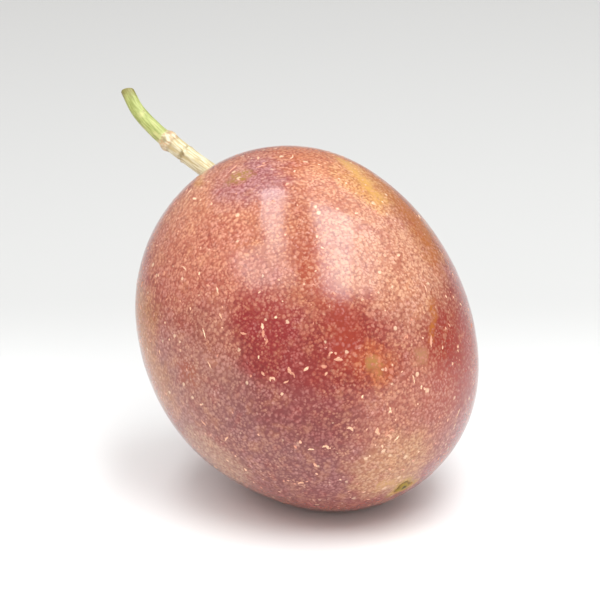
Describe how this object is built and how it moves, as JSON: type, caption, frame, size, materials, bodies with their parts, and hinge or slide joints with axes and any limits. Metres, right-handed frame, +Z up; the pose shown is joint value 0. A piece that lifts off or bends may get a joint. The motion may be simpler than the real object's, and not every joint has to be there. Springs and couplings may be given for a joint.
{
  "type": "passion fruit",
  "caption": "Whole passion fruit, an ovoid berry with its cut stem, leaning back on a small flat resting spot.",
  "frame": {"origin": "point of the flat resting spot that lies straight below the middle of the fruit", "axes": "+Z up, away from the surface; the blossom end faces -Y and a little +X, and the stem rises towards -X and +Y"},
  "size_m": [0.0694, 0.0698, 0.0708],
  "materials": {
    "rind": null,
    "stem": "soft matt plant stem, green towards the cut and straw-coloured at the fruit"
  },
  "bodies": {
    "root": {"fruit": "rind", "stem": "stem"}
  },
  "joints": []
}
